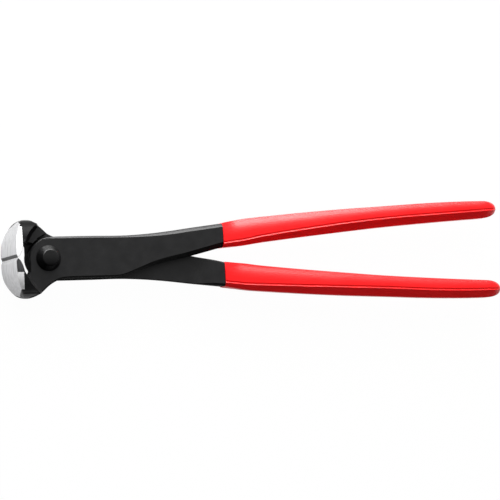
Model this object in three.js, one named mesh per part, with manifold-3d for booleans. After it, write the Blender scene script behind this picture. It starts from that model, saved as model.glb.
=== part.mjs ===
// Front cutting pliers (end cutting nippers) with a lap joint, a rivet and two dipped grips.
// Units are millimetres. The tool lies on its side: X runs from the jaws to the handle ends,
// Y runs across the handles and Z is the pivot axis, from the rear of the joint to its front.
// The origin is the centre of the rivet's rear face.
// Both levers are the same forging. The rear one is turned half a turn about X.

import * as THREE from 'three';
import { mergeVertices } from 'three/addons/utils/BufferGeometryUtils.js';
import Module from 'manifold-3d';

const wasm = await Module();
wasm.setup();

// Whole tool
const edgeReach = 18.65;
const handleReach = 261.3;
const gripStart = 96;
const runningGap = 0.3;

// Jaws
const jawWidth = 25;
const headHeight = 39.4;
const jawBulge = 0.7;
const jawLandHeight = 1.6;
const hollowDepth = 8.3;
const hollowBack = 9.7;
const hollowStart = 2.4;

// Lap joint
const plateThickness = 4.35;
const plateRadius = 10;
const plateChamfer = 0.5;
const recessClearance = 0.7;
const fullOpening = 28;

// Flare from the joint to the jaws: an arc about a centre of its own
const flareCentreX = 12.2;
const flareCentreY = 2.2;
const flareFootRadius = 24.8;
const flareRun = 3.7;

// Rivet
const rivetRadius = 4.5;
const rivetHeadRadius = 6.45;
const rivetTopRadius = 3.9;
const rivetHeadHeight = 3.5;
const rivetChamfer = 0.3;

// Lever arms, between the plate and the grip
const steelOuterY = 16.3;
const steelInnerY = 3.9;
const armChamfer = 0.9;
const handleChamfer = 1.9;
const handleThickness = 8.2;

// Grips
const gripProud = 0.6;
const gripWall = 1.2;
const gripLip = 0.4;
const gripOuterEndY = 26.35;
const gripInnerEndY = 16.8;
const gripEndThickness = 9;
const gripStartChamfer = 1.9;
const gripMiddleChamfer = 4.1;
const gripNoseLength = 9.5;
const tangEndClearance = 1.5;

// Overrun of a cutting shape past the face that it cuts
const overrun = 2;

// Sizes that follow from the ones above
const lapHalf = runningGap / 2;
const jointHalf = lapHalf + plateThickness;
const jawHalf = jawWidth / 2;
const headHalf = headHeight / 2;
const recessRadius = plateRadius + recessClearance;
const boreRadius = rivetRadius + runningGap;
const rivetSeat = jointHalf + runningGap;
const rivetHalf = rivetSeat + rivetHeadHeight;
const handleHalf = handleThickness / 2;
const gripLength = handleReach - gripStart;
const noseStart = handleReach - gripNoseLength;
const tangInset = gripWall + runningGap;
const clearOfHead = jawWidth + flareFootRadius;
const roundSegments = 48;

// Points of the head in side view, as shares of the edge reach and of half the head height
const jawFrontShares = [[1.036, 0.24], [1.015, 0.44], [0.967, 0.6], [0.902, 0.74], [0.84, 0.85]];
const crownShares = [[0.778, 0.929], [0.69, 0.982], [0.58, 1], [0.45, 0.981]];
const shoulderShares = [[0.338, 0.929], [0.225, 0.873], [0.113, 0.787], [0.021, 0.712]];
const farShoulderShares = [[0.354, 0.906], [0.279, 0.861], [0.198, 0.805], [0.102, 0.722], [0.021, 0.647],
  [-0.07, 0.56]];
const jawInnerShares = [[0.783, 0.92], [0.829, 0.675], [0.866, 0.42], [0.925, 0.16]];

// Points of the heel, where the shoulder meets the arm, as shares of the plate radius
const heelShares = [[0.16, 1.26], [0.36, 1.12], [0.56, 1.045], [0.8, 0.95]];

// Back of the hollow as shares of its depth: a rounded corner on the lever's own level, and a
// slope into the other plate's recess on the far level
const hollowWallShare = 0.78;
const hollowCornerShares = [[0.16, 0.97], [0.38, 1]];
const hollowSlopeShares = [[0.84, 0.87], [1.07, 0.93], [1.29, 0.975], [1.48, 1]];

// Profile of the flare, as shares of its run and of its rise
const flareShares = [[0.16, 0.06], [0.49, 0.4], [0.65, 0.64], [1, 1]];

// Half width of the jaws in front view, at shares of half the head height
const jawWidthShares = [[0, 1], [0.22, 1], [0.46, 0.935], [0.62, 0.835], [0.75, 0.72], [0.865, 0.56],
  [0.945, 0.36], [0.99, 0.15]];

// Edges of the lever arm: x as a share of the grip's start, y from the plate to the grip
const armOuterShares = [[0, 0], [0.036, 0.085], [0.085, 0.14], [0.26, 0.14], [0.36, 0.122],
  [0.465, 0.148], [0.58, 0.262], [0.695, 0.442], [0.81, 0.665], [0.93, 0.878], [1, 1]];
const armInnerShares = [[0, 0], [0.12, -0.014], [0.36, -0.011], [0.395, 0], [0.435, 0.05],
  [0.506, 0.194], [0.6, 0.388], [0.6875, 0.532], [0.78, 0.651], [0.88, 0.806], [1, 1]];

// Where the arm's chamfer starts and ends to grow, and where its back leaves the lap plane
const armChamferShares = [0.36, 0.75];
const crankShares = [0.84, 0.97];

// Edges of the grip: x as a share of its length, y from its start to its far end
const gripOuterShares = [[0, 0], [0.0726, 0.169], [0.139, 0.28], [0.278, 0.471], [0.417, 0.632],
  [0.569, 0.767], [0.714, 0.903], [0.859, 0.989], [1, 1]];
const gripInnerShares = [[0, 0], [0.0665, 0.089], [0.133, 0.198], [0.278, 0.385], [0.417, 0.55],
  [0.563, 0.711], [0.708, 0.839], [0.859, 0.956], [1, 1.055]];

// Growth of the grip's chamfer along its length, its depth against its width, and its largest
// share of the grip's half width. The nose closes through the last row of shares.
const gripChamferShares = [[0, 0], [0.06, 0.23], [0.13, 0.45], [0.27, 0.75], [0.44, 1], [0.62, 1],
  [0.8, 0.91], [1, 0.86]];
const gripChamferDepthShare = 0.72;
const gripChamferLimitShare = 0.84;
const noseShares = [0.3, 0.55, 0.75, 0.9, 0.98];

// A smooth curve through hand-placed stations, with no overshoot between them
function smoothCurve(stations) {
  const rises = stations.slice(1).map(([x, y], i) => (y - stations[i][1]) / (x - stations[i][0]));
  const slopes = stations.map((station, i) => {
    const before = rises[Math.max(i - 1, 0)];
    const after = rises[Math.min(i, rises.length - 1)];
    return before * after > 0 ? (2 * before * after) / (before + after) : 0;
  });
  return (x) => {
    let i = 0;
    while (i < stations.length - 2 && x > stations[i + 1][0]) i += 1;
    const [x0, y0] = stations[i];
    const [x1, y1] = stations[i + 1];
    const span = x1 - x0;
    const t = THREE.MathUtils.clamp((x - x0) / span, 0, 1);
    const rise = y1 - y0;
    const a = slopes[i] * span - rise;
    const b = rise - slopes[i + 1] * span;
    return y0 + rise * t + t * (1 - t) * (a * (1 - t) + b * t);
  };
}

// Stations placed by shares of a length in x and of a rise in y
function placed(shares, startX, lengthX, startY, riseY) {
  return shares.map(([x, y]) => [startX + x * lengthX, startY + y * riseY]);
}

// Evenly spaced stations
function spaced(from, to, count) {
  return Array.from({ length: count + 1 }, (_, i) => from + ((to - from) * i) / count);
}

// A closed geometry as a solid that can be joined and cut
function solid(geometry) {
  const bare = geometry.index ? geometry.toNonIndexed() : geometry.clone();
  bare.deleteAttribute('normal');
  bare.deleteAttribute('uv');
  const merged = mergeVertices(bare);
  const index = merged.index.array;
  const triangles = [];
  for (let i = 0; i < index.length; i += 3) {
    const [a, b, c] = [index[i], index[i + 1], index[i + 2]];
    if (a !== b && b !== c && c !== a) triangles.push(a, b, c);
  }
  const vertProperties = new Float32Array(merged.attributes.position.array);
  const triVerts = new Uint32Array(triangles);
  return new wasm.Manifold(new wasm.Mesh({ numProp: 3, vertProperties, triVerts }));
}

// A solid of revolution about the pivot axis, from a profile of radius and height
function turned(profile) {
  const points = profile.map(([radius, height]) => new THREE.Vector2(radius, height));
  return solid(new THREE.LatheGeometry(points, roundSegments).rotateX(Math.PI / 2));
}

// An outline in the XY plane, extruded between two heights
function plate(shape, low, high) {
  const settings = { depth: high - low, bevelEnabled: false, curveSegments: 12 };
  return solid(new THREE.ExtrudeGeometry(shape, settings).translate(0, 0, low));
}

// A block between two corners
function block(low, high) {
  const size = high.map((value, i) => value - low[i]);
  const centre = high.map((value, i) => (value + low[i]) / 2);
  return solid(new THREE.BoxGeometry(...size).translate(...centre));
}

// A bar along X with an eight-sided section that follows its four sides and its chamfers.
// On the unit section a corner at 1 lies on the side and one at the half mark lies in by the chamfer.
function bar(stations, sides) {
  const side = 1;
  const inset = side / 2;
  const corners = [[side, inset], [inset, side], [-inset, side], [-side, inset], [-side, -inset],
    [-inset, -side], [inset, -side], [side, -inset]];
  const section = new THREE.Shape(corners.map(([u, v]) => new THREE.Vector2(u, v)));
  const steps = stations.length - 1;
  const geometry = new THREE.ExtrudeGeometry(section, { depth: steps, steps, bevelEnabled: false });
  const position = geometry.attributes.position;
  for (let i = 0; i < position.count; i += 1) {
    const u = position.getX(i);
    const v = position.getY(i);
    const x = stations[Math.round(position.getZ(i))];
    const at = sides(x);
    const cut = v > 0 ? at.frontChamfer : at.backChamfer;
    const cutY = Math.abs(u) < side ? cut : 0;
    const cutZ = Math.abs(v) < side ? cut * at.chamferDepth : 0;
    const y = u > 0 ? at.outer - cutY : at.inner + cutY;
    const z = v > 0 ? at.front - cutZ : at.back + cutZ;
    position.setXYZ(i, x, y, z);
  }
  return solid(geometry);
}

// The four sides of the bare arm, from the pivot to the grip
const armOuter = smoothCurve(placed(armOuterShares, 0, gripStart, plateRadius, steelOuterY - plateRadius));
const armInner = smoothCurve(placed(armInnerShares, 0, gripStart, -plateRadius, steelInnerY + plateRadius));
const crank = crankShares.map((share) => share * gripStart);
const armBack = smoothCurve([[0, lapHalf], [crank[0], lapHalf], [crank[1], -handleHalf],
  [handleReach, -handleHalf]]);
const armFront = smoothCurve([[0, jointHalf], [crank[0], jointHalf], [crank[1], handleHalf],
  [handleReach, handleHalf]]);
const chamferGrowth = armChamferShares.map((share) => share * gripStart);
const armEdge = smoothCurve([[0, armChamfer], [chamferGrowth[0], armChamfer],
  [chamferGrowth[1], handleChamfer], [gripStart, handleChamfer]]);

function armSides(x) {
  const back = armBack(x);
  const chamfer = armEdge(x);
  const lift = (lapHalf - back) / (lapHalf + handleHalf);
  return {
    outer: armOuter(x),
    inner: armInner(x),
    front: armFront(x),
    back,
    frontChamfer: chamfer,
    backChamfer: runningGap + lift * (chamfer - runningGap),
    chamferDepth: 1,
  };
}

// The outer sides of the grip, from its lip to its nose
const gripOuter = smoothCurve(placed(gripOuterShares, gripStart, gripLength,
  steelOuterY + gripProud, gripOuterEndY - steelOuterY - gripProud));
const gripInner = smoothCurve(placed(gripInnerShares, gripStart, gripLength,
  steelInnerY - gripProud, gripInnerEndY - steelInnerY + gripProud));
const gripHalf = smoothCurve([[gripStart, handleHalf + gripProud], [handleReach, gripEndThickness / 2]]);
const gripEdge = smoothCurve(placed(gripChamferShares, gripStart, gripLength,
  gripStartChamfer, gripMiddleChamfer - gripStartChamfer));

function gripSides(x, inset) {
  const alongNose = THREE.MathUtils.clamp((x - noseStart) / gripNoseLength, 0, 1);
  const roundness = Math.sqrt(1 - alongNose * alongNose);
  const outer = gripOuter(x);
  const inner = gripInner(x);
  const centre = (outer + inner) / 2;
  const halfWidth = ((outer - inner) / 2) * roundness - inset;
  const half = gripHalf(x) * roundness - inset;
  const chamfer = Math.min(gripEdge(x) - inset / 2, gripChamferLimitShare * halfWidth,
    gripChamferLimitShare * half / gripChamferDepthShare);
  return {
    outer: centre + halfWidth,
    inner: centre - halfWidth,
    front: half,
    back: -half,
    frontChamfer: chamfer,
    backChamfer: chamfer,
    chamferDepth: gripChamferDepthShare,
  };
}

// Jaw and shoulder in side view. The back of the hollow starts with the straight points.
function headShape(shoulder, heel, straight, rounded) {
  const headPoint = ([x, y]) => new THREE.Vector2(-x * edgeReach, -y * headHalf);
  const heelPoint = ([x, y]) => new THREE.Vector2(x * plateRadius, -y * plateRadius);
  const heelEnd = heelPoint(heelShares.at(-1));
  const shape = new THREE.Shape();
  shape.moveTo(-edgeReach, -lapHalf);
  shape.lineTo(-edgeReach - jawBulge, -jawLandHeight);
  shape.splineThru([
    ...jawFrontShares.map(headPoint),
    ...crownShares.map(headPoint),
    ...shoulder.map(headPoint),
    ...heel.map(heelPoint),
  ]);
  shape.lineTo(heelEnd.x, -rivetHeadRadius);
  straight.forEach(([x, y]) => shape.lineTo(-x, -y));
  shape.splineThru(rounded.map(([x, y]) => new THREE.Vector2(-x, -y)));
  shape.splineThru(jawInnerShares.map(([x, y]) => new THREE.Vector2(-x * edgeReach, -y * hollowDepth)));
  shape.lineTo(-edgeReach, -lapHalf);
  return shape;
}

// The space that the head fills in front view, wide at the cutting edge and closed at the crown
function headEnvelope() {
  const curve = smoothCurve(placed(jawWidthShares, 0, headHalf, 0, jawHalf));
  const heights = spaced(0, jawWidthShares.at(-1)[0] * headHalf, 16);
  const front = heights.map((y) => new THREE.Vector2(-y, curve(y)));
  const back = heights.reverse().map((y) => new THREE.Vector2(-y, -curve(y)));
  const shape = new THREE.Shape([...front, ...back]);
  const geometry = new THREE.ExtrudeGeometry(shape, { depth: clearOfHead, bevelEnabled: false });
  const turn = new THREE.Matrix4().makeBasis(
    new THREE.Vector3(0, 1, 0), new THREE.Vector3(0, 0, 1), new THREE.Vector3(1, 0, 0));
  return solid(geometry.applyMatrix4(turn).translate(-jawWidth, 0, 0));
}

// The space under the flare, where the head widens from the joint to the jaws
function flareEnvelope() {
  const wall = placed(flareShares, flareFootRadius, flareRun, jointHalf, jawHalf - jointHalf);
  const upper = [[flareFootRadius, jointHalf], ...wall, [flareFootRadius + flareRun, jawHalf + overrun],
    [clearOfHead, jawHalf + overrun]];
  const lower = upper.map(([radius, height]) => [radius, -height]);
  return turned([[0, -jointHalf], ...lower, ...upper.reverse(), [0, jointHalf]])
    .translate(flareCentreX, flareCentreY, 0);
}

// Room for the other lever's plate, and for its arm when the jaws are fully open
function otherLeverRoom() {
  const plateRoom = turned([[0, -clearOfHead], [recessRadius, -clearOfHead], [recessRadius, lapHalf],
    [0, lapHalf]]);
  const armRoom = block([0, -recessRadius, -clearOfHead], [clearOfHead, clearOfHead, lapHalf])
    .rotate(0, 0, -fullOpening);
  return plateRoom.add(armRoom);
}

// One lever: jaw, half of the lap joint, arm and the tang inside the grip
function leverSolid() {
  const wall = [[rivetHeadRadius, hollowStart], [hollowBack, hollowStart],
    [hollowBack, hollowDepth * hollowWallShare]];
  const corner = placed(hollowCornerShares, hollowBack, hollowDepth, 0, hollowDepth);
  const slope = placed(hollowSlopeShares, 0, hollowDepth, 0, hollowDepth);
  const ownShape = headShape(shoulderShares, heelShares, wall, corner);
  const farShape = headShape(farShoulderShares, [], [slope[0]], slope.slice(1));
  const ownJaw = plate(ownShape, lapHalf, jawHalf + overrun);
  const farJaw = plate(farShape, -jawHalf - overrun, lapHalf + runningGap).subtract(otherLeverRoom());
  const head = ownJaw.add(farJaw).intersect(headEnvelope()).intersect(flareEnvelope());

  const disc = turned([[0, lapHalf], [plateRadius, lapHalf], [plateRadius, jointHalf - plateChamfer],
    [plateRadius - plateChamfer, jointHalf], [0, jointHalf]]);
  const arm = bar([...spaced(0, chamferGrowth[0], 3), ...spaced(chamferGrowth[0] + overrun,
    gripStart - runningGap, 20)], armSides);
  const tangEnd = noseStart + gripNoseLength / 2 - tangInset - tangEndClearance;
  const tang = bar(spaced(gripStart - overrun, tangEnd, 16), (x) => gripSides(x, tangInset));
  const bore = turned([[0, -jointHalf - overrun], [boreRadius, -jointHalf - overrun],
    [boreRadius, jointHalf + overrun], [0, jointHalf + overrun]]);
  return head.add(disc).add(arm).add(tang).subtract(bore);
}

// One grip: a closed sleeve dipped over the tang, with a thin rounded lip
function gripSolid() {
  const nose = noseShares.map((share) => noseStart + share * gripNoseLength);
  const skin = bar([gripStart, gripStart + gripLip, ...spaced(gripStart + overrun, noseStart, 18), ...nose],
    (x) => gripSides(x, x === gripStart ? gripLip : 0));
  const cavityEnd = noseStart + gripNoseLength / 2 - tangInset;
  const cavity = bar(spaced(gripStart - overrun, cavityEnd, 16), (x) => gripSides(x, gripWall));
  return skin.subtract(cavity);
}

// The rivet: a shank through both plates and a raised conical head on each side
function rivetSolid() {
  const upper = [[rivetRadius, rivetSeat], [rivetHeadRadius, rivetSeat],
    [rivetTopRadius + rivetChamfer, rivetHalf - rivetChamfer], [rivetTopRadius, rivetHalf]];
  const lower = upper.map(([radius, height]) => [radius, -height]).reverse();
  return turned([[0, -rivetHalf], ...lower, ...upper, [0, rivetHalf]]);
}

// A finished solid as a three.js mesh
function piece(name, shape, material) {
  const made = shape.getMesh();
  const geometry = new THREE.BufferGeometry();
  geometry.setAttribute('position', new THREE.Float32BufferAttribute(made.vertProperties, 3));
  geometry.setIndex(new THREE.Uint32BufferAttribute(made.triVerts, 1));
  geometry.computeVertexNormals();
  const mesh = new THREE.Mesh(geometry, material);
  mesh.name = name;
  return mesh;
}

const blackSteel = () => new THREE.MeshStandardMaterial({ color: 0x333436, roughness: 0.5, metalness: 0.6 });
const redGrip = () => new THREE.MeshStandardMaterial({ color: 0xe8191c, roughness: 0.25, metalness: 0 });

const lever = leverSolid();
const grip = gripSolid();

const frontLever = piece('front_lever', lever, blackSteel());
const rearLever = piece('rear_lever', lever, blackSteel());
rearLever.rotation.x = Math.PI;

const frontGrip = piece('front_grip', grip, redGrip());
const rearGrip = piece('rear_grip', grip, redGrip());
rearGrip.rotation.x = Math.PI;

const rivet = piece('rivet', rivetSolid(), blackSteel());

// The rear face of the rivet stands at the origin
const tool = new THREE.Group();
tool.position.z = rivetHalf;
tool.add(rearLever, frontLever, rivet, rearGrip, frontGrip);

const group = new THREE.Group();
group.add(tool);
export default group;
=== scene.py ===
import math

import bmesh
import bpy
from mathutils import Matrix, Vector


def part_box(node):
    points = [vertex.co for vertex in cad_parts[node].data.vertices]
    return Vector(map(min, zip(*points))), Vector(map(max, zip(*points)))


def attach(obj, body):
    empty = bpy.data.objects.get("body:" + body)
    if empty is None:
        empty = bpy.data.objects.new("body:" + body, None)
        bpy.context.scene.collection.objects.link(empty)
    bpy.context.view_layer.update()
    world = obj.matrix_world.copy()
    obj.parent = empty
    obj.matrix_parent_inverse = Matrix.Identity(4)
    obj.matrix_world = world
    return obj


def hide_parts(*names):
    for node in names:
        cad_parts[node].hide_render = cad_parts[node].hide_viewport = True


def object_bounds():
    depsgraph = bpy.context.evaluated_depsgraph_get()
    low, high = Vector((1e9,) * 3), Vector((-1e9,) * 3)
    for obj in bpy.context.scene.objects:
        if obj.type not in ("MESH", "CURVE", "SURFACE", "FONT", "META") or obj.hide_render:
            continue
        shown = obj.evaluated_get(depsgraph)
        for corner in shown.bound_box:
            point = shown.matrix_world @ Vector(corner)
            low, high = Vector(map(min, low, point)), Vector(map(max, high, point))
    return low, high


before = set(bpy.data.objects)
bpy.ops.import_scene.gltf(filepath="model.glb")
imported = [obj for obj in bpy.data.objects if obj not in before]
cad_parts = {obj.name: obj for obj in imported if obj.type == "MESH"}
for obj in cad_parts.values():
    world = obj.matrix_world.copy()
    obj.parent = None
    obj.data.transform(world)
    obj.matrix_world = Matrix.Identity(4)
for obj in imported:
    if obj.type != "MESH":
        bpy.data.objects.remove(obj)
cad_low, cad_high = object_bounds()


# Camera. It stands in front of the tool, 24 degrees round towards the jaws and a little below
# it, and is turned by 3 degrees about its own line of sight. It aims at a point of the plane
# where the levers lap, half way up the rivet. X runs to the handle ends and Z is the pivot axis.
rivet_low, rivet_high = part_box("rivet")
lap_height = (rivet_low.z + rivet_high.z) / 2
camera_round = math.radians(24.315)
camera_below = math.radians(4.379)
camera_roll = math.radians(3.172)
camera_distance = 1.2
camera_aim = Vector((0.112563, 0.002356, lap_height))

camera_back = Vector((
    -math.sin(camera_round) * math.cos(camera_below),
    -math.sin(camera_below),
    math.cos(camera_round) * math.cos(camera_below),
))
level_right = Vector((0, 1, 0)).cross(camera_back).normalized()
level_up = camera_back.cross(level_right)
camera_right = level_right * math.cos(camera_roll) - level_up * math.sin(camera_roll)
camera_up = level_right * math.sin(camera_roll) + level_up * math.cos(camera_roll)

camera_data = bpy.data.cameras.new("camera")
camera_data.sensor_width = 36
camera_data.lens = 165.7
camera_data.clip_start = 0.05
camera_data.clip_end = 20
camera = bpy.data.objects.new("camera", camera_data)
camera.matrix_world = Matrix.Translation(camera_aim + camera_back * camera_distance) @ Matrix(
    (camera_right, camera_up, camera_back)).transposed().to_4x4()
bpy.context.scene.collection.objects.link(camera)
bpy.context.scene.camera = camera
bpy.context.scene.view_settings.view_transform = "Standard"


# Floor. A sheet of white paper that the tool lies on. The camera sees it as white with a very
# faint shadow. In the tool's gloss it is a mix of that white and the paper as it is lit, with
# the tool's own shadow on it.
floor_height = cad_low.z
floor_size = 6.0
paper_grey = 0.95
floor_shadow_share = 0.02
mirrored_shadow_share = 0.7


def new_material(name):
    """An empty node material and its output node."""
    material = bpy.data.materials.new(name)
    material.use_nodes = True
    nodes = material.node_tree.nodes
    nodes.clear()
    return material, nodes, material.node_tree.links, nodes.new("ShaderNodeOutputMaterial")


floor_mesh = bpy.data.meshes.new("floor")
sheet = bmesh.new()
bmesh.ops.create_grid(sheet, x_segments=1, y_segments=1, size=floor_size / 2,
                      matrix=Matrix.Translation((camera_aim.x, 0, floor_height)))
sheet.to_mesh(floor_mesh)
sheet.free()
floor = bpy.data.objects.new("floor", floor_mesh)
bpy.context.scene.collection.objects.link(floor)

paper, nodes, links, output = new_material("white_paper")
paper_diffuse = nodes.new("ShaderNodeBsdfDiffuse")
paper_diffuse.inputs["Color"].default_value = (paper_grey, paper_grey, paper_grey, 1)
paper_white = nodes.new("ShaderNodeEmission")
paper_white.inputs["Strength"].default_value = 1
seen = nodes.new("ShaderNodeLightPath")
paper_mix = nodes.new("ShaderNodeMixShader")
white_shares = []
for ray, shadow_share in (("Is Camera Ray", floor_shadow_share),
                          ("Is Glossy Ray", mirrored_shadow_share),
                          ("Is Transmission Ray", floor_shadow_share)):
    white_share = nodes.new("ShaderNodeMath")
    white_share.operation = "MULTIPLY"
    white_share.inputs[1].default_value = 1 - shadow_share
    links.new(seen.outputs[ray], white_share.inputs[0])
    white_shares.append(white_share)
for white_share in white_shares[1:]:
    either = nodes.new("ShaderNodeMath")
    either.operation = "MAXIMUM"
    links.new(white_shares[0].outputs[0], either.inputs[0])
    links.new(white_share.outputs[0], either.inputs[1])
    white_shares[0] = either
links.new(white_shares[0].outputs[0], paper_mix.inputs["Fac"])
links.new(paper_diffuse.outputs[0], paper_mix.inputs[1])
links.new(paper_white.outputs[0], paper_mix.inputs[2])
links.new(paper_mix.outputs[0], output.inputs["Surface"])
floor_mesh.materials.append(paper)


# Light. A grey room, darkest on the side of the lower handle, and three soft lamps on the side
# of the upper one. A low strip, set towards the jaws, gives the upper edges their bright lines,
# which fade before the tips. A weak lamp stands above it, and a broad fill is kept off the gloss.
room_steps = [(0.25, 0.05), (0.42, 0.28), (0.50, 0.40), (0.62, 0.40), (0.76, 0.36), (1.0, 0.35)]
world = bpy.data.worlds.new("room")
world.use_nodes = True
bpy.context.scene.world = world
nodes = world.node_tree.nodes
links = world.node_tree.links
nodes.clear()
direction = nodes.new("ShaderNodeTexCoord")
split = nodes.new("ShaderNodeSeparateXYZ")
height_share = nodes.new("ShaderNodeMapRange")
height_share.inputs["From Min"].default_value = -1
height_share.inputs["From Max"].default_value = 1
room_ramp = nodes.new("ShaderNodeValToRGB")
room_ramp.color_ramp.interpolation = "EASE"
while len(room_ramp.color_ramp.elements) < len(room_steps):
    room_ramp.color_ramp.elements.new(0.5)
for element, (share, level) in zip(room_ramp.color_ramp.elements, room_steps):
    element.position = share
    element.color = (level, level, level, 1)
room_light = nodes.new("ShaderNodeBackground")
room_light.inputs["Strength"].default_value = 1
room_seen = nodes.new("ShaderNodeBackground")
room_seen.inputs["Color"].default_value = (1, 1, 1, 1)
room_seen.inputs["Strength"].default_value = 1
seen = nodes.new("ShaderNodeLightPath")
room_mix = nodes.new("ShaderNodeMixShader")
output = nodes.new("ShaderNodeOutputWorld")
links.new(direction.outputs["Generated"], split.inputs[0])
links.new(split.outputs["Y"], height_share.inputs["Value"])
links.new(height_share.outputs[0], room_ramp.inputs["Fac"])
links.new(room_ramp.outputs["Color"], room_light.inputs["Color"])
links.new(seen.outputs["Is Camera Ray"], room_mix.inputs["Fac"])
links.new(room_light.outputs[0], room_mix.inputs[1])
links.new(room_seen.outputs[0], room_mix.inputs[2])
links.new(room_mix.outputs[0], output.inputs["Surface"])


def soft_lamp(name, place, aim, width, height, watts, mirrored=True):
    """A rectangular lamp that faces a point. Where it isn't mirrored, gloss doesn't show it."""
    data = bpy.data.lights.new(name, "AREA")
    data.shape = "RECTANGLE"
    data.size = width
    data.size_y = height
    data.energy = watts
    lamp = bpy.data.objects.new(name, data)
    lamp.location = place
    lamp.rotation_mode = "QUATERNION"
    lamp.rotation_quaternion = (Vector(place) - Vector(aim)).to_track_quat("Z", "Y")
    lamp.visible_glossy = mirrored
    bpy.context.scene.collection.objects.link(lamp)


lamp_line = -0.08
middle = (camera_aim.x, 0, 0)
soft_lamp("strip_lamp", (lamp_line, 0.9, 0.26), (lamp_line, 0, 0), 1.4, 0.5, 20)
soft_lamp("middle_lamp", (lamp_line, 0.8, 0.64), (lamp_line, 0, 0), 1.4, 0.3, 3.2)
soft_lamp("fill_lamp", (0.12, 0.75, 0.8), middle, 1.2, 0.8, 7.5, mirrored=False)


# Levers. Two equal forgings, black-oxidised, with the jaws' fronts ground bright. Each has a
# jaw, half of the lap joint and an arm whose end sits in a grip. The front one is made first,
# with its jaw downwards, and the rear one is the same mesh turned half a turn about X.

# Lengths are in millimetres from the pivot, with Z measured from the plane where the levers lap
MM = 0.001
to_frame = Matrix.Translation((0, 0, lap_height)) @ Matrix.Scale(MM, 4)
half_turn = Matrix.Rotation(math.pi, 4, "X")

# The outlines of the jaw, the shoulders and the arm, then of the joint and the jaw hollow
edge_reach = 18.65
edge_gap = 0.02
land_foot = -1.6
land_tip = (-19.35, land_foot)
jaw_front = [(-19.32, -4.68), (-18.93, -8.58), (-18.03, -11.7), (-16.82, -14.43),
             (-15.67, -16.58)]
jaw_crown = [(-14.51, -18.3), (-12.87, -19.35), (-10.82, -19.7), (-8.39, -19.33)]
shoulder = [(-6.3, -18.3), (-4.2, -17.2), (-2.11, -15.5), (-0.39, -14.03)]
far_shoulder = [(-6.6, -17.85), (-5.2, -16.96), (-3.7, -15.86), (-1.9, -14.22),
                (-0.4, -12.75), (-0.03, -12.4)]
heel = [(1.6, -12.7), (3.6, -11.65), (5.6, -10.85), (8.2, -10.35), (11.5, -10.2)]
arm_inner = [(34.6, -10.15), (37.9, -10), (41.8, -9.3), (48.6, -7.3), (57.6, -4.6), (66, -2.6),
             (74.9, -0.95), (84.5, 1.2), (96, 3.9), (100.4, 4.6)]
arm_outer = [(100.4, 16.7), (96, 16.3), (89.3, 15.53), (77.8, 14.19), (66.7, 12.78), (55.7, 11.65),
             (44.6, 10.93), (36, 10.77), (25, 10.88), (8.2, 10.88), (3.5, 10.85), (1.2, 10.72)]
jaw_inner = [(-14.6, -7.64), (-15.46, -5.6), (-16.15, -3.49), (-17.25, -1.33)]
plate_radius = 10.0
plate_rise = [(90, 0.6), (128, 0)]
plate_start, plate_turn, plate_steps = 90, 104, 44
recess_radius = 10.7
recess_end, recess_steps = -137, 10
bore_radius, bore_depth = 4.8, 60
round_steps = 96
own_wall = -9.7
own_wall_rows = (-3.2, -4.8)
wall_bottom = -6.5
hollow_corner = [(-1.0, -8.0), (-2.6, -8.3)]
far_hollow = [(-8.9, -7.7), (-10.7, -8.1), (-12.3, -8.3)]
full_opening = math.radians(28)
stop_reach = 10.95
lap_half = 0.15
joint_half = 4.5
jaw_half = 12.5
handle_half = 4.1
crank = (80.6, 93.1)
tang_start, tang_middle = 97, 10.6
tang_narrowing, tang_thinning = 0.3, 0.6

# Widths of the rounded or broken edges, along the arm by X
arm_rim_run = [(36, 0.95), (72, 1.9)]
inner_arm_rim_run = [(36, 0.95), (62, 2.2), (88, 2.6)]
arm_middle_run = [(36, 0.3), (100, 10.6)]
head_rim_run = [(-16, 0.35), (-12, 0.7), (8, 0.9)]
cutting_rim, ground_rim, hollow_rim, stop_rim, wall_rim, plate_rim = 0.12, 0.22, 0.3, 0.35, 0.4, 0.6
ground_rim_end, ground_rim_start = -17.3, -15
widest_rim = 2.7
rim_steps, rim_profile = 4, 0.3
chamfer_depth = 0.95

# A head is first extruded to cap_height and then lowered to its real one. rim_band is the depth
# under the cap that holds the rounded edge, and head_end is where the joint begins.
cap_height = 14.0
rim_band = 2.8
head_end = -2
arm_start = 0.5
flat_side = 0.05
head_rows = [-0.6 * i for i in range(1, 29)] + [-17.05, -17.7, -18.15, -18.6, -18.85, -19.05,
                                                -19.25, -19.45]
flare_rows = [0, 1, 2, 3, 4, 5, 6, 7, 8, 9, 9.5, 10, 10.5]
arm_rows = [34 + 2 * i for i in range(34)]
cut_tolerance = 1e-5
weld_distance = 1e-4

# Where the black skin is ground away, and how the faces of each finish lie
ground_limit = Vector((-15.85, 0, 12.5))
ground_tilt = Vector((1, 0, 0.32)).normalized()
ground_reach = -12
wall_limit = -14.1
patch_end, own_band_end, far_band_end = -7.2, -15.6, -17.05
own_crown_at, own_crown_tilt = Vector((0, -15.7, 7.8)), Vector((0, -2.8, 1)).normalized()
far_crown_at, far_crown_tilt = Vector((0, -17.8, -5)), Vector((0, -4, -1)).normalized()
crown_reach, crown_foot, crown_lean = -12.5, -13, -0.2
hollow_reach, hollow_end, hollow_foot = -18.6, -6.5, -9
sides_start = -10
upright_most, forward_least, ground_least, side_least = 0.6, 0.3, 0.3, 0.25
nearly_flat, nearly_flat_behind = 0.95, 0.985


def cubic_run(start, start_handle, end_handle, end, count):
    """Points along one cubic piece."""
    shares = [i / (count - 1) for i in range(count)]
    return [start * (1 - t) ** 3 + start_handle * 3 * t * (1 - t) ** 2
            + end_handle * 3 * t * t * (1 - t) + end * t ** 3 for t in shares]


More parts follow.
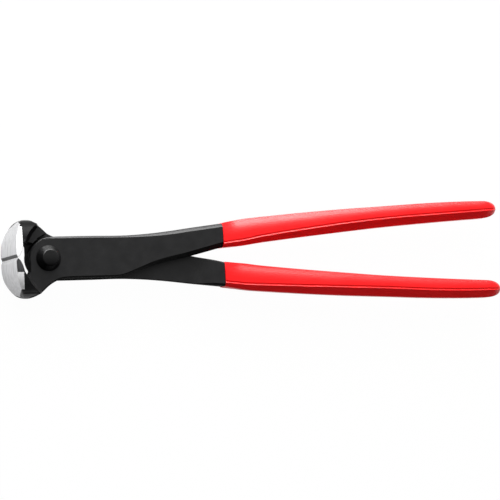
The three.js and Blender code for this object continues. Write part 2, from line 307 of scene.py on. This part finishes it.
def smooth_path(points, step=0.8):
    """A smooth line through given points, as short straight steps."""
    points = [Vector(p) for p in points]
    slopes = []
    for i in range(len(points)):
        before, after = points[max(i - 1, 0)], points[min(i + 1, len(points) - 1)]
        slopes.append((after - before).normalized())
    path = []
    for i in range(len(points) - 1):
        reach = (points[i + 1] - points[i]).length / 3
        count = max(2, round(3 * reach / step) + 1)
        path += cubic_run(points[i], points[i] + slopes[i] * reach,
                          points[i + 1] - slopes[i + 1] * reach, points[i + 1], count)[:-1]
    return path + [points[-1]]


def arc(radius, from_degrees, to_degrees, count):
    """Points on a circle about the pivot."""
    turns = [math.radians(from_degrees + (to_degrees - from_degrees) * i / count)
             for i in range(count + 1)]
    return [Vector((radius * math.cos(a), radius * math.sin(a))) for a in turns]


def smooth_value(stations, at):
    """A smooth value between stations of place and value."""
    if at <= stations[0][0]:
        return stations[0][1]
    for (x0, y0), (x1, y1) in zip(stations, stations[1:]):
        if at <= x1:
            t = (at - x0) / (x1 - x0)
            return y0 + (y1 - y0) * t * t * (3 - 2 * t)
    return stations[-1][1]


def jaw_half_width(y):
    """Half the jaw's width at a height: full at the cutting edge, closed at the crown."""
    rounded_from, crown_at = 3.0, 19.82
    fullness, nearly_closed = 2.2, 0.995
    t = min(max(abs(y) - rounded_from, 0) / (crown_at - rounded_from), nearly_closed)
    return jaw_half * math.sqrt(1 - t ** fullness)


# The flare widens the head from the joint to the jaws, along an arc about a centre of its own
flare_centre = Vector((12.2, 2.2))
flare_foot = 24.7
flare_run = 4.0
least_flare_run = 0.5
flare_power = 1.5


def flare_width(y):
    """How far the flare runs at a height before it meets the jaw's side."""
    rise = max(jaw_half_width(y) - joint_half, 0) / (jaw_half - joint_half)
    return max(flare_run * rise ** (1 / flare_power), least_flare_run)


def flare_share(x, y):
    """Where a point lies on the flare: 0 at its foot and 1 where it meets the jaw's side."""
    reach = math.hypot(x - flare_centre.x, y - flare_centre.y)
    return (reach - flare_foot) / flare_width(y)


def flare_x(share, y):
    """The X of a point that lies at a share of the flare."""
    reach = flare_foot + share * flare_width(y)
    return flare_centre.x - math.sqrt(max(reach ** 2 - (y - flare_centre.y) ** 2, 0))


def head_height(x, y):
    """Height of the head's side above the lap plane."""
    width = jaw_half_width(y)
    share = min(max(flare_share(x, y), 0), 1)
    return min(joint_half + (width - joint_half) * share ** flare_power, max(width, 0))


def arm_front(x):
    """Height of the arm's front face: it steps down behind the joint, where the arm cranks."""
    return smooth_value([(crank[0], joint_half), (crank[1], handle_half)], x)


def arm_back(x):
    """Height of the arm's back face: on the lap as far as the crank, then at full depth."""
    return smooth_value([(crank[0], lap_half), (crank[1], -handle_half)], x)


def back_rim(x, y):
    """Rounding of the arm's back edges: none on the lap, and wider at the outer edge."""
    at_crank, at_tang = (1.2, 1.2) if y > smooth_value(arm_middle_run, x) else (0.5, 1.0)
    return smooth_value([(0, 0), (2, 0.2), (crank[0], 0.3), (crank[1], at_crank),
                         (tang_start, at_tang)], x)


def applied(bm, *modifiers):
    """The mesh with modifiers applied, as a new bmesh. Each is a type and its settings."""
    mesh = bpy.data.meshes.new("working")
    bm.to_mesh(mesh)
    bm.free()
    holder = bpy.data.objects.new("working", mesh)
    bpy.context.scene.collection.objects.link(holder)
    for kind, settings in modifiers:
        modifier = holder.modifiers.new(kind, kind)
        for key, value in settings.items():
            setattr(modifier, key, value)
    bpy.context.view_layer.update()
    made = holder.evaluated_get(bpy.context.evaluated_depsgraph_get()).to_mesh()
    result = bmesh.new()
    result.from_mesh(made)
    bpy.data.objects.remove(holder)
    bpy.data.meshes.remove(mesh)
    return result


def booleaned(bm, other, operation):
    """The mesh joined with, or cut by, another one."""
    mesh = bpy.data.meshes.new("cutter")
    other.to_mesh(mesh)
    other.free()
    cutter = bpy.data.objects.new("cutter", mesh)
    bpy.context.scene.collection.objects.link(cutter)
    result = applied(bm, ("BOOLEAN", {"object": cutter, "operation": operation, "solver": "EXACT"}))
    bpy.data.objects.remove(cutter)
    bpy.data.meshes.remove(mesh)
    return result


def forged_plate(rim, low, high, low_rim=None):
    """An outline extruded from low to high. rim holds x, y and the rounding of the upper edge."""
    same, places = 1e-6, 4
    bm = bmesh.new()
    corners = [bm.verts.new((x, y, low)) for x, y, _ in rim]
    base = bm.faces.new(corners)
    raised = bmesh.ops.extrude_face_region(bm, geom=[base])
    for v in [g for g in raised["geom"] if isinstance(g, bmesh.types.BMVert)]:
        v.co.z = high
    bmesh.ops.recalc_face_normals(bm, faces=bm.faces)
    rounding = {(round(x, places), round(y, places)): width for x, y, width in rim}
    weight = bm.edges.layers.float.new("bevel_weight_edge")
    for edge in bm.edges:
        a, b = edge.verts
        if abs(a.co.z - b.co.z) > same:
            continue
        widths = [rounding[(round(v.co.x, places), round(v.co.y, places))] for v in (a, b)]
        if abs(a.co.z - high) < same:
            edge[weight] = sum(widths) / 2 / widest_rim
        elif low_rim is not None:
            edge[weight] = low_rim((a.co.x + b.co.x) / 2, (a.co.y + b.co.y) / 2) / widest_rim
    return applied(bm, ("BEVEL", {
        "width": widest_rim, "limit_method": "WEIGHT", "segments": rim_steps,
        "profile": rim_profile, "use_clamp_overlap": False, "material": -1}))


def split_faces(bm, faces, point, normal):
    """Cuts faces along a plane, which leaves an edge there."""
    geometry = {g for f in faces for g in (f, *f.edges, *f.verts)}
    bmesh.ops.bisect_plane(bm, geom=list(geometry), dist=cut_tolerance, plane_co=point,
                           plane_no=normal)


def sliced(bm, axis, places, chosen=lambda face: True):
    """Cuts across the chosen faces at several places along one axis."""
    normal = Vector([1 if i == axis else 0 for i in range(3)])
    for place in places:
        split_faces(bm, [f for f in bm.faces if chosen(f)], normal * place, normal)


def shape_head(bm):
    """Slices the flat side of the head along the flare and gives it its height."""
    def on_cap(face):
        centre = face.calc_center_median()
        return abs(face.normal.z) > flat_side and centre.z > cap_height - rim_band

    def on_side(face):
        return face.calc_center_median().x < head_end and on_cap(face)

    sliced(bm, 0, [head_end])
    sliced(bm, 1, head_rows, on_side)
    # X is swapped for ten times the share of the flare while the cuts along it are made
    real = {v: v.co.x for v in bm.verts}
    shares_in_x, off_flare, past_line = 10, 1000, 0.01
    for v in bm.verts:
        if v.co.x < head_end + past_line:
            v.co.x = shares_in_x * flare_share(v.co.x, v.co.y)
        else:
            v.co.x = off_flare + v.co.x
    sliced(bm, 0, flare_rows,
           lambda f: max(v.co.x for v in f.verts) < off_flare / 2 and on_cap(f))
    for v in bm.verts:
        v.co.x = real[v] if v in real else flare_x(v.co.x / shares_in_x, v.co.y)
    for v in bm.verts:
        if v.co.z > cap_height - rim_band and v.co.x < arm_start:
            v.co.z = head_height(v.co.x, v.co.y) - (cap_height - v.co.z)
    bm.normal_update()
    ground = [f for f in bm.faces
              if f.calc_center_median().x < ground_reach and abs(f.normal.z) > flat_side
              and f.calc_center_median().z > lap_half + 1]
    split_faces(bm, ground, ground_limit, ground_tilt)


def head_rim(point):
    """Rounding of the head's edge at a point: crisp where ground, soft where forged."""
    if point.y > ground_rim_end and point.x < ground_rim_start:
        return ground_rim
    return smooth_value(head_rim_run, point.x)


# The level with the arm: jaw, shoulder, arm and the round plate of the joint
tip = Vector((-edge_reach, -edge_gap))
own_rim = [(tip.x, tip.y, cutting_rim)]
own_rim += [(p.x, p.y, head_rim(p))
            for p in smooth_path([land_tip, *jaw_front, *jaw_crown, *shoulder, *heel])]
own_rim += [(p.x, p.y, smooth_value(inner_arm_rim_run, p.x)) for p in smooth_path(arm_inner, 2.0)]
own_rim += [(p.x, p.y, smooth_value(arm_rim_run, p.x)) for p in smooth_path(arm_outer, 2.0)]
for turn in [plate_start + plate_turn * i / plate_steps for i in range(plate_steps + 1)]:
    radius = plate_radius + smooth_value(plate_rise, turn)
    own_rim.append((radius * math.cos(math.radians(turn)), radius * math.sin(math.radians(turn)),
                    plate_rim))
own_rim += [(own_wall, y, wall_rim) for y in own_wall_rows]
own_rim += [(p.x, p.y, hollow_rim)
            for p in smooth_path([(own_wall, wall_bottom),
                                  *[(own_wall + x, y) for x, y in hollow_corner], *jaw_inner], 0.6)]

own = forged_plate(own_rim, lap_half, cap_height, low_rim=back_rim)
shape_head(own)
sliced(own, 0, arm_rows)
for v in own.verts:
    if v.co.x > arm_start:
        if v.co.z > cap_height - rim_band:
            v.co.z = arm_front(v.co.x) - (cap_height - v.co.z) * chamfer_depth
        else:
            v.co.z = arm_back(v.co.x) + (v.co.z - lap_half)
    if v.co.x > tang_start:
        v.co.y += (tang_middle - v.co.y) * tang_narrowing
        v.co.z *= tang_thinning

# The other level of the head ends at the recess for the other lever's plate, and at the face
# that stops that lever's arm when the tool is fully open
far_rim = [(tip.x, tip.y, cutting_rim)]
far_rim += [(p.x, p.y, head_rim(p))
            for p in smooth_path([land_tip, *jaw_front, *jaw_crown, *far_shoulder])]
far_rim.append((-stop_reach * math.sin(full_opening), -stop_reach * math.cos(full_opening),
                stop_rim))
far_rim += [(p.x, p.y, stop_rim)
            for p in arc(recess_radius, -90 - math.degrees(full_opening), recess_end, recess_steps)]
far_rim += [(p.x, p.y, hollow_rim) for p in smooth_path([*far_hollow, *jaw_inner], 0.6)]

far = forged_plate(far_rim, -lap_half, cap_height)
shape_head(far)
for v in far.verts:
    v.co.z = -v.co.z
bmesh.ops.reverse_faces(far, faces=far.faces)
own.normal_update()
far.normal_update()
lever = booleaned(own, far, "UNION")
bore = bmesh.new()
bmesh.ops.create_cone(bore, cap_ends=True, segments=round_steps, radius1=bore_radius,
                      radius2=bore_radius, depth=bore_depth)
lever = booleaned(lever, bore, "DIFFERENCE")
bmesh.ops.remove_doubles(lever, verts=lever.verts, dist=weld_distance)
bmesh.ops.dissolve_degenerate(lever, edges=lever.edges, dist=weld_distance)
sliced(lever, 0, [wall_limit],
       lambda f: f.calc_center_median().x < ground_reach and f.normal.x < crown_lean)
for at, tilt in ((own_crown_at, own_crown_tilt), (far_crown_at, far_crown_tilt)):
    crown = [f for f in lever.faces if f.calc_center_median().x < crown_reach
             and f.calc_center_median().y < crown_foot and f.normal.x < crown_lean]
    split_faces(lever, crown, at, tilt)
lever.normal_update()

# Which finish each face has. The front wall, a patch and a band of each side and the land at the
# edge are ground; the patch, and the land of the rear lever, get darker steel as painted shade.
# The hollow and whichever sides face down get painted shade, a darker black with less gloss, and
# the crown's side gets painted shade, a darker black whose gloss falls off towards the crown.
black, wall, patch, band, land, inside, low_side, high_side, crown_side = range(9)
for face in lever.faces:
    centre = face.calc_center_median()
    normal = face.normal
    mirrored = Vector((centre.x, centre.y, abs(centre.z)))
    below_crown = ((centre - own_crown_at).dot(own_crown_tilt) < 0
                   and (centre - far_crown_at).dot(far_crown_tilt) < 0)
    band_end = own_band_end if centre.z > 0 else far_band_end
    face.material_index = black
    upright = abs(normal.z) < upright_most
    in_hollow = hollow_reach < centre.x < hollow_end and centre.y > hollow_foot
    on_plate_edge = centre.x < head_end and centre.y > 0
    far_flare = centre.z < -1 and centre.x < 0 and centre.y < hollow_foot
    if centre.x < wall_limit and upright and normal.x < -forward_least and below_crown:
        face.material_index = land if centre.y > land_foot else wall
    elif ((mirrored - ground_limit).dot(ground_tilt) < 0 and centre.x < ground_reach
          and band_end < centre.y and abs(normal.z) > ground_least):
        face.material_index = patch if centre.z > 0 and centre.y > patch_end else band
    elif upright and (in_hollow or on_plate_edge):
        face.material_index = inside
    elif far_flare and -nearly_flat_behind < normal.z < -ground_least:
        face.material_index = crown_side
    elif centre.x > sides_start and abs(normal.y) > side_least and normal.z < nearly_flat:
        face.material_index = low_side if normal.y < 0 else high_side
    face.smooth = True


def noise_bump(nodes, links, surface, coordinates, layers):
    """Surface relief from several sizes of noise: each a scale, a detail and a height."""
    last = None
    for scale, detail, height in layers:
        noise = nodes.new("ShaderNodeTexNoise")
        noise.inputs["Scale"].default_value = scale
        noise.inputs["Detail"].default_value = detail
        bump = nodes.new("ShaderNodeBump")
        bump.inputs["Strength"].default_value = 1
        bump.inputs["Distance"].default_value = height
        links.new(coordinates, noise.inputs["Vector"])
        links.new(noise.outputs["Fac"], bump.inputs["Height"])
        if last is not None:
            links.new(last.outputs["Normal"], bump.inputs["Normal"])
        last = bump
    links.new(last.outputs["Normal"], surface.inputs["Normal"])


def ramp(nodes, links, source, stops):
    """A colour ramp on a value. Each stop is a place and a colour."""
    made = nodes.new("ShaderNodeValToRGB")
    elements = made.color_ramp.elements
    while len(elements) < len(stops):
        elements.new(0.5)
    for element, (place, colour) in zip(elements, stops):
        element.position = place
        element.color = (*colour, 1) if len(colour) == 3 else (colour[0],) * 3 + (1,)
    links.new(source, made.inputs["Fac"])
    return made.outputs["Color"]


def black_oxide(name, dark=0.012, light=0.017, gloss=None):
    """Black-oxidised steel. Gloss is two stops of Y and level, where it isn't even all over."""
    even_gloss, cool = 0.32, 1.03
    material, nodes, links, output = new_material(name)
    surface = nodes.new("ShaderNodeBsdfPrincipled")
    place = nodes.new("ShaderNodeTexCoord").outputs["Object"]
    blotch = nodes.new("ShaderNodeTexNoise")
    blotch.inputs["Scale"].default_value = 160
    blotch.inputs["Detail"].default_value = 6
    links.new(place, blotch.inputs["Vector"])
    links.new(ramp(nodes, links, blotch.outputs["Fac"],
                   [(0.3, (dark, dark, dark * cool)), (0.7, (light, light, light * cool))]),
              surface.inputs["Base Color"])
    links.new(ramp(nodes, links, blotch.outputs["Fac"], [(0.3, (0.30,)), (0.7, (0.38,))]),
              surface.inputs["Roughness"])
    surface.inputs["Specular IOR Level"].default_value = even_gloss
    if gloss is not None:
        surface.inputs["Specular IOR Level"].default_value = (gloss[0][1] + gloss[1][1]) / 2
        height = nodes.new("ShaderNodeSeparateXYZ")
        spread = nodes.new("ShaderNodeMapRange")
        links.new(place, height.inputs[0])
        links.new(height.outputs["Y"], spread.inputs["Value"])
        for side, (at, level) in zip(("Min", "Max"), gloss):
            spread.inputs["From " + side].default_value = at
            spread.inputs["To " + side].default_value = level
        links.new(spread.outputs[0], surface.inputs["Specular IOR Level"])
    noise_bump(nodes, links, surface, place, [(900, 3, 0.00003), (3500, 2, 0.00001)])
    links.new(surface.outputs[0], output.inputs["Surface"])
    return material


black_steel = black_oxide("black_oxide_steel")
# Painted shade: the crowns' sides get a darker black whose gloss falls off towards the crown.
lower_crown_painted_shade_steel = black_oxide("lower_crown_painted_shade_steel", 0.003, 0.005,
                                [(-0.0165, 0.04), (-0.0105, 0.1)])
upper_crown_painted_shade_steel = black_oxide("upper_crown_painted_shade_steel", 0.003, 0.005,
                                [(0.0105, 0.1), (0.0165, 0.04)])


def streaked_steel(name, dark, light, metallic=1.0, rough=0.38):
    """Steel ground across the jaw: fine streaks along Y between a dark and a light shade."""
    rough_spread = 0.04
    material, nodes, links, output = new_material(name)
    surface = nodes.new("ShaderNodeBsdfPrincipled")
    place = nodes.new("ShaderNodeTexCoord").outputs["Object"]
    stretch = nodes.new("ShaderNodeMapping")
    stretch.inputs["Scale"].default_value = (1900, 50, 1900)
    links.new(place, stretch.inputs["Vector"])
    streak = nodes.new("ShaderNodeTexNoise")
    streak.inputs["Scale"].default_value = 1
    streak.inputs["Detail"].default_value = 4
    links.new(stretch.outputs["Vector"], streak.inputs["Vector"])
    surface.inputs["Metallic"].default_value = metallic
    links.new(ramp(nodes, links, streak.outputs["Fac"], [(0.32, dark), (0.68, light)]),
              surface.inputs["Base Color"])
    links.new(ramp(nodes, links, streak.outputs["Fac"],
                   [(0.3, (rough + rough_spread,)), (0.7, (rough - rough_spread,))]),
              surface.inputs["Roughness"])
    relief = nodes.new("ShaderNodeBump")
    relief.inputs["Strength"].default_value = 1
    relief.inputs["Distance"].default_value = 0.000012
    links.new(streak.outputs["Fac"], relief.inputs["Height"])
    links.new(relief.outputs["Normal"], surface.inputs["Normal"])
    links.new(surface.outputs[0], output.inputs["Surface"])
    return material


ground_steel = streaked_steel("ground_steel", (0.42, 0.42, 0.43), (0.64, 0.64, 0.65), 0.75)
# Painted shade: a darker copy of the ground steel, for a patch of the ground side next to the
# cutting edge.
shaded_patch_steel = streaked_steel("painted_shade_ground_steel", (0.09, 0.09, 0.095), (0.22, 0.22, 0.225))
band_steel = streaked_steel("side_ground_steel", (0.86, 0.86, 0.87), (0.97, 0.97, 0.97), 0.1, 0.5)
# Painted shade: a near-black copy of the ground steel, for the land at the rear lever's cutting
# edge.
rear_land_painted_shade = streaked_steel("shaded_land_steel", (0.012, 0.012, 0.0125), (0.035, 0.035, 0.036))

# Painted shade: a darker, rougher and less glossy copy of the black steel. It goes on the walls of
# the jaw hollow, on the plate's round end and on the sides of the levers that face down, away from
# the lamps.
painted_shade_black, nodes, links, output = new_material("unlit_black_steel")
surface = nodes.new("ShaderNodeBsdfPrincipled")
place = nodes.new("ShaderNodeTexCoord").outputs["Object"]
grain = nodes.new("ShaderNodeTexNoise")
grain.inputs["Scale"].default_value = 700
links.new(place, grain.inputs["Vector"])
links.new(ramp(nodes, links, grain.outputs["Fac"],
               [(0.3, (0.004, 0.004, 0.0042)), (0.7, (0.007, 0.007, 0.0072))]),
          surface.inputs["Base Color"])
surface.inputs["Roughness"].default_value = 0.7
surface.inputs["Specular IOR Level"].default_value = 0.15
noise_bump(nodes, links, surface, place, [(900, 3, 0.00003)])
links.new(surface.outputs[0], output.inputs["Surface"])


def finished(bm, name, materials, body, node, sharp_degrees=30):
    """The finished piece in the frame, with its materials, in place of a plain one."""
    mesh = bpy.data.meshes.new(name)
    bm.to_mesh(mesh)
    mesh.transform(to_frame)
    mesh.set_sharp_from_angle(angle=math.radians(sharp_degrees))
    for material in materials:
        mesh.materials.append(material)
    piece = bpy.data.objects.new(name, mesh)
    bpy.context.scene.collection.objects.link(piece)
    normals = piece.modifiers.new("even_normals", "WEIGHTED_NORMAL")
    normals.keep_sharp = True
    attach(piece, body)
    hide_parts(node)


# One steel for each finish, in the order of the names above. The half turn brings the upper sides
# of the rear lever down, so the painted-shade black and plain black change places there, and the
# sides that face down are always the shaded ones.
steels = [black_steel, ground_steel, shaded_patch_steel, band_steel]
front_steels = [*steels, ground_steel, painted_shade_black, painted_shade_black, black_steel, lower_crown_painted_shade_steel]
rear_steels = [*steels, rear_land_painted_shade, painted_shade_black, black_steel, painted_shade_black, upper_crown_painted_shade_steel]
finished(lever, "front_forging", front_steels, "front_half", "front_lever")
bmesh.ops.transform(lever, matrix=half_turn, verts=lever.verts)
finished(lever, "rear_forging", rear_steels, "rear_half", "rear_lever")
lever.free()


# Rivet. A turned steel pin, black-oxidised, with a raised conical head on both sides. The top
# of each head is flat, with a softly broken edge. The lower half of a head has little gloss, as
# painted shade.
rivet_shape = [(0, 8.3), (3.5, 8.3), (3.8, 8.27), (4.0, 8.2), (4.15, 8.08), (4.27, 7.93),
               (6.33, 5.15), (6.43, 4.98), (6.45, 4.82), (6.4, 4.8), (4.5, 4.8), (4.5, 0)]
# Painted shade: the gloss falls off over the lower half of each head.
rivet_painted_shade_steel = black_oxide("rivet_black_steel_painted_shade", 0.003, 0.006, [(-0.0035, 0.03), (0.0015, 0.5)])
rivet = bmesh.new()
rear_shape = [(r, -z) for r, z in rivet_shape[-2::-1]]
outline = [rivet.verts.new((r, 0, z)) for r, z in rivet_shape + rear_shape]
profile_edges = [rivet.edges.new(pair) for pair in zip(outline, outline[1:])]
bmesh.ops.spin(rivet, geom=outline + profile_edges, cent=(0, 0, 0), axis=(0, 0, 1),
               angle=2 * math.pi, steps=round_steps, use_duplicate=False)
bmesh.ops.remove_doubles(rivet, verts=rivet.verts, dist=weld_distance)
bmesh.ops.recalc_face_normals(rivet, faces=rivet.faces)
for face in rivet.faces:
    face.smooth = True
finished(rivet, "rivet_pin", [rivet_painted_shade_steel], "rear_half", "rivet")
rivet.free()


# Grips. Glossy red plastic sleeves, moulded over the tangs of the handles. On the front one the
# outer edge of the front face is broadly rounded, and a fine groove and a chamfer run along its
# inner edge. Behind, the two edges change places, so both grips look alike. The ends are round.
grip_start = 96.0
grip_end = 261.1
nose_start = 251.8
nose_radius = 4.5
nose_steps = 14
# The outer and inner edges and the width of the chamfer, each at places along X
grip_outer = [(96, 16.5), (108, 18.5), (119, 19.55), (142, 21.35), (165, 22.87), (190, 24.15),
              (214, 25.43), (238, 26.2), (261.1, 26.26)]
grip_inner = [(96, 3.75), (107, 4.5), (118, 5.97), (142, 8.5), (165, 10.72), (189, 12.9),
              (213, 14.63), (238, 16.2), (261.1, 17.5)]
grip_chamfer = [(96, 1.9), (106, 2.41), (117.5, 2.89), (140.6, 3.55), (168.7, 4.1), (198.5, 4.1),
                (228.2, 3.88), (261.3, 3.79)]
start_thickness = 9.4
end_thickness = 9.0
groove_run, groove_depth = 0.5, 0.27
groove_bottom, groove_lip, groove_end, groove_room = 1.4, 2.4, 3.4, 3.6
least_half = 0.05
crown_share, crown_power = 0.58, 2.2
crown_steps = 8
chamfer_rise = 0.72
mouth_drop, mouth_length, full_drop = 0.9, 9, 0.45
mouth_rings = [(0.02, 0.42), (0.06, 0.25), (0.16, 0.1), (0.4, 0.0)]
ring_start, ring_step, ring_count = 98, 2.5, 62
crease_degrees = 24


def run_value(stations, at):
    """A value along a smooth run through stations."""
    at = min(max(at, stations[0][0]), stations[-1][0])
    i = next(i for i in range(len(stations) - 1) if at <= stations[i + 1][0])
    (x0, y0), (x1, y1) = stations[i], stations[i + 1]

    def slope(k):
        if k == 0 or k == len(stations) - 1:
            k = min(max(k, 0), len(stations) - 2)
            return (stations[k + 1][1] - stations[k][1]) / (stations[k + 1][0] - stations[k][0])
        return (stations[k + 1][1] - stations[k - 1][1]) / (stations[k + 1][0] - stations[k - 1][0])

    t = (at - x0) / (x1 - x0)
    run = x1 - x0
    return (y0 * (1 + 2 * t) * (1 - t) ** 2 + slope(i) * run * t * (1 - t) ** 2
            + y1 * t * t * (3 - 2 * t) + slope(i + 1) * run * t * t * (t - 1))


def grip_section(x, shrink):
    """Corners of a grip's section. Shrink is how far it is drawn in from the full section."""
    outer, inner = run_value(grip_outer, x), run_value(grip_inner, x)
    along = (end_thickness - start_thickness) * (x - grip_start) / (grip_end - grip_start)
    half = (start_thickness + along) / 2
    cut = run_value(grip_chamfer, x)
    rise = chamfer_rise * cut
    middle = (outer + inner) / 2
    side = (outer - inner) / 2
    crown_run = min(crown_share * 2 * side, 2 * side - cut - groove_room * groove_run)
    crown_drop = smooth_value([(grip_start, mouth_drop),
                               (grip_start + mouth_length, full_drop * crown_run)], x)
    corners = []
    for corner in range(4):
        across = 1 if corner in (0, 3) else -1
        up = 1 if corner in (0, 1) else -1
        low = Vector((across * side, up * (half - rise)))
        high = Vector((across * (side - cut), up * half))
        if corner in (0, 2):
            shares = [i / crown_steps for i in range(crown_steps + 1)]
            arc_points = [Vector((across * (side - crown_run * share),
                                  up * (half - crown_drop * (1 - share) ** crown_power)))
                          for share in shares]
        else:
            arc_points = [low, low.lerp(high, 0.25), low.lerp(high, 0.5), low.lerp(high, 0.75),
                          high,
                          high - Vector((across * groove_run, up * groove_depth)),
                          high - Vector((across * groove_run * groove_bottom, up * groove_depth)),
                          high - Vector((across * groove_run * groove_lip, 0)),
                          high - Vector((across * groove_run * groove_end, 0))]
        if corner in (1, 3):
            arc_points.reverse()
        corners += arc_points
    scale_y = max(side - shrink, least_half) / side
    scale_z = max(half - shrink, least_half) / half
    return [(middle + p.x * scale_y, p.y * scale_z) for p in corners]


grip = bmesh.new()
nose_length = grip_end - nose_start
stations = [(grip_start + x, shrink) for x, shrink in mouth_rings]
stations += [(x, 0.0) for x in [ring_start + ring_step * i for i in range(ring_count)]
             if x < nose_start]
for i in range(nose_steps + 1):
    angle = i / nose_steps * math.pi / 2
    stations.append((nose_start + nose_length * math.sin(angle),
                     nose_radius * (1 - math.cos(angle))))
ring = [grip.verts.new((stations[0][0], y, z)) for y, z in grip_section(*stations[0])]
grip.faces.new(ring)
for x, shrink in stations[1:]:
    edges = [grip.edges.get(pair) for pair in zip(ring, ring[1:] + ring[:1])]
    made = bmesh.ops.extrude_edge_only(grip, edges=edges)
    new = {g for g in made["geom"] if isinstance(g, bmesh.types.BMVert)}
    ring = [next(e.other_vert(v) for e in v.link_edges if e.other_vert(v) in new) for v in ring]
    for v, (y, z) in zip(ring, grip_section(x, shrink)):
        v.co = (x, y, z)
grip.faces.new(ring)
bmesh.ops.recalc_face_normals(grip, faces=grip.faces)
for face in grip.faces:
    face.smooth = True

red_plastic, nodes, links, output = new_material("red_grip_plastic")
surface = nodes.new("ShaderNodeBsdfPrincipled")
place = nodes.new("ShaderNodeTexCoord").outputs["Object"]
cloud = nodes.new("ShaderNodeTexNoise")
cloud.inputs["Scale"].default_value = 60
cloud.inputs["Detail"].default_value = 3
links.new(place, cloud.inputs["Vector"])
links.new(ramp(nodes, links, cloud.outputs["Fac"],
               [(0.3, (0.90, 0.003, 0.005)), (0.7, (0.95, 0.005, 0.007))]),
          surface.inputs["Base Color"])
links.new(ramp(nodes, links, cloud.outputs["Fac"], [(0.3, (0.30,)), (0.7, (0.35,))]),
          surface.inputs["Roughness"])
surface.inputs["Specular IOR Level"].default_value = 0.5
noise_bump(nodes, links, surface, place, [(260, 2, 0.00004), (2200, 2, 0.000006)])
links.new(surface.outputs[0], output.inputs["Surface"])

finished(grip, "front_sleeve", [red_plastic], "front_half", "front_grip",
         crease_degrees)
bmesh.ops.transform(grip, matrix=half_turn, verts=grip.verts)
finished(grip, "rear_sleeve", [red_plastic], "rear_half", "rear_grip",
         crease_degrees)
grip.free()
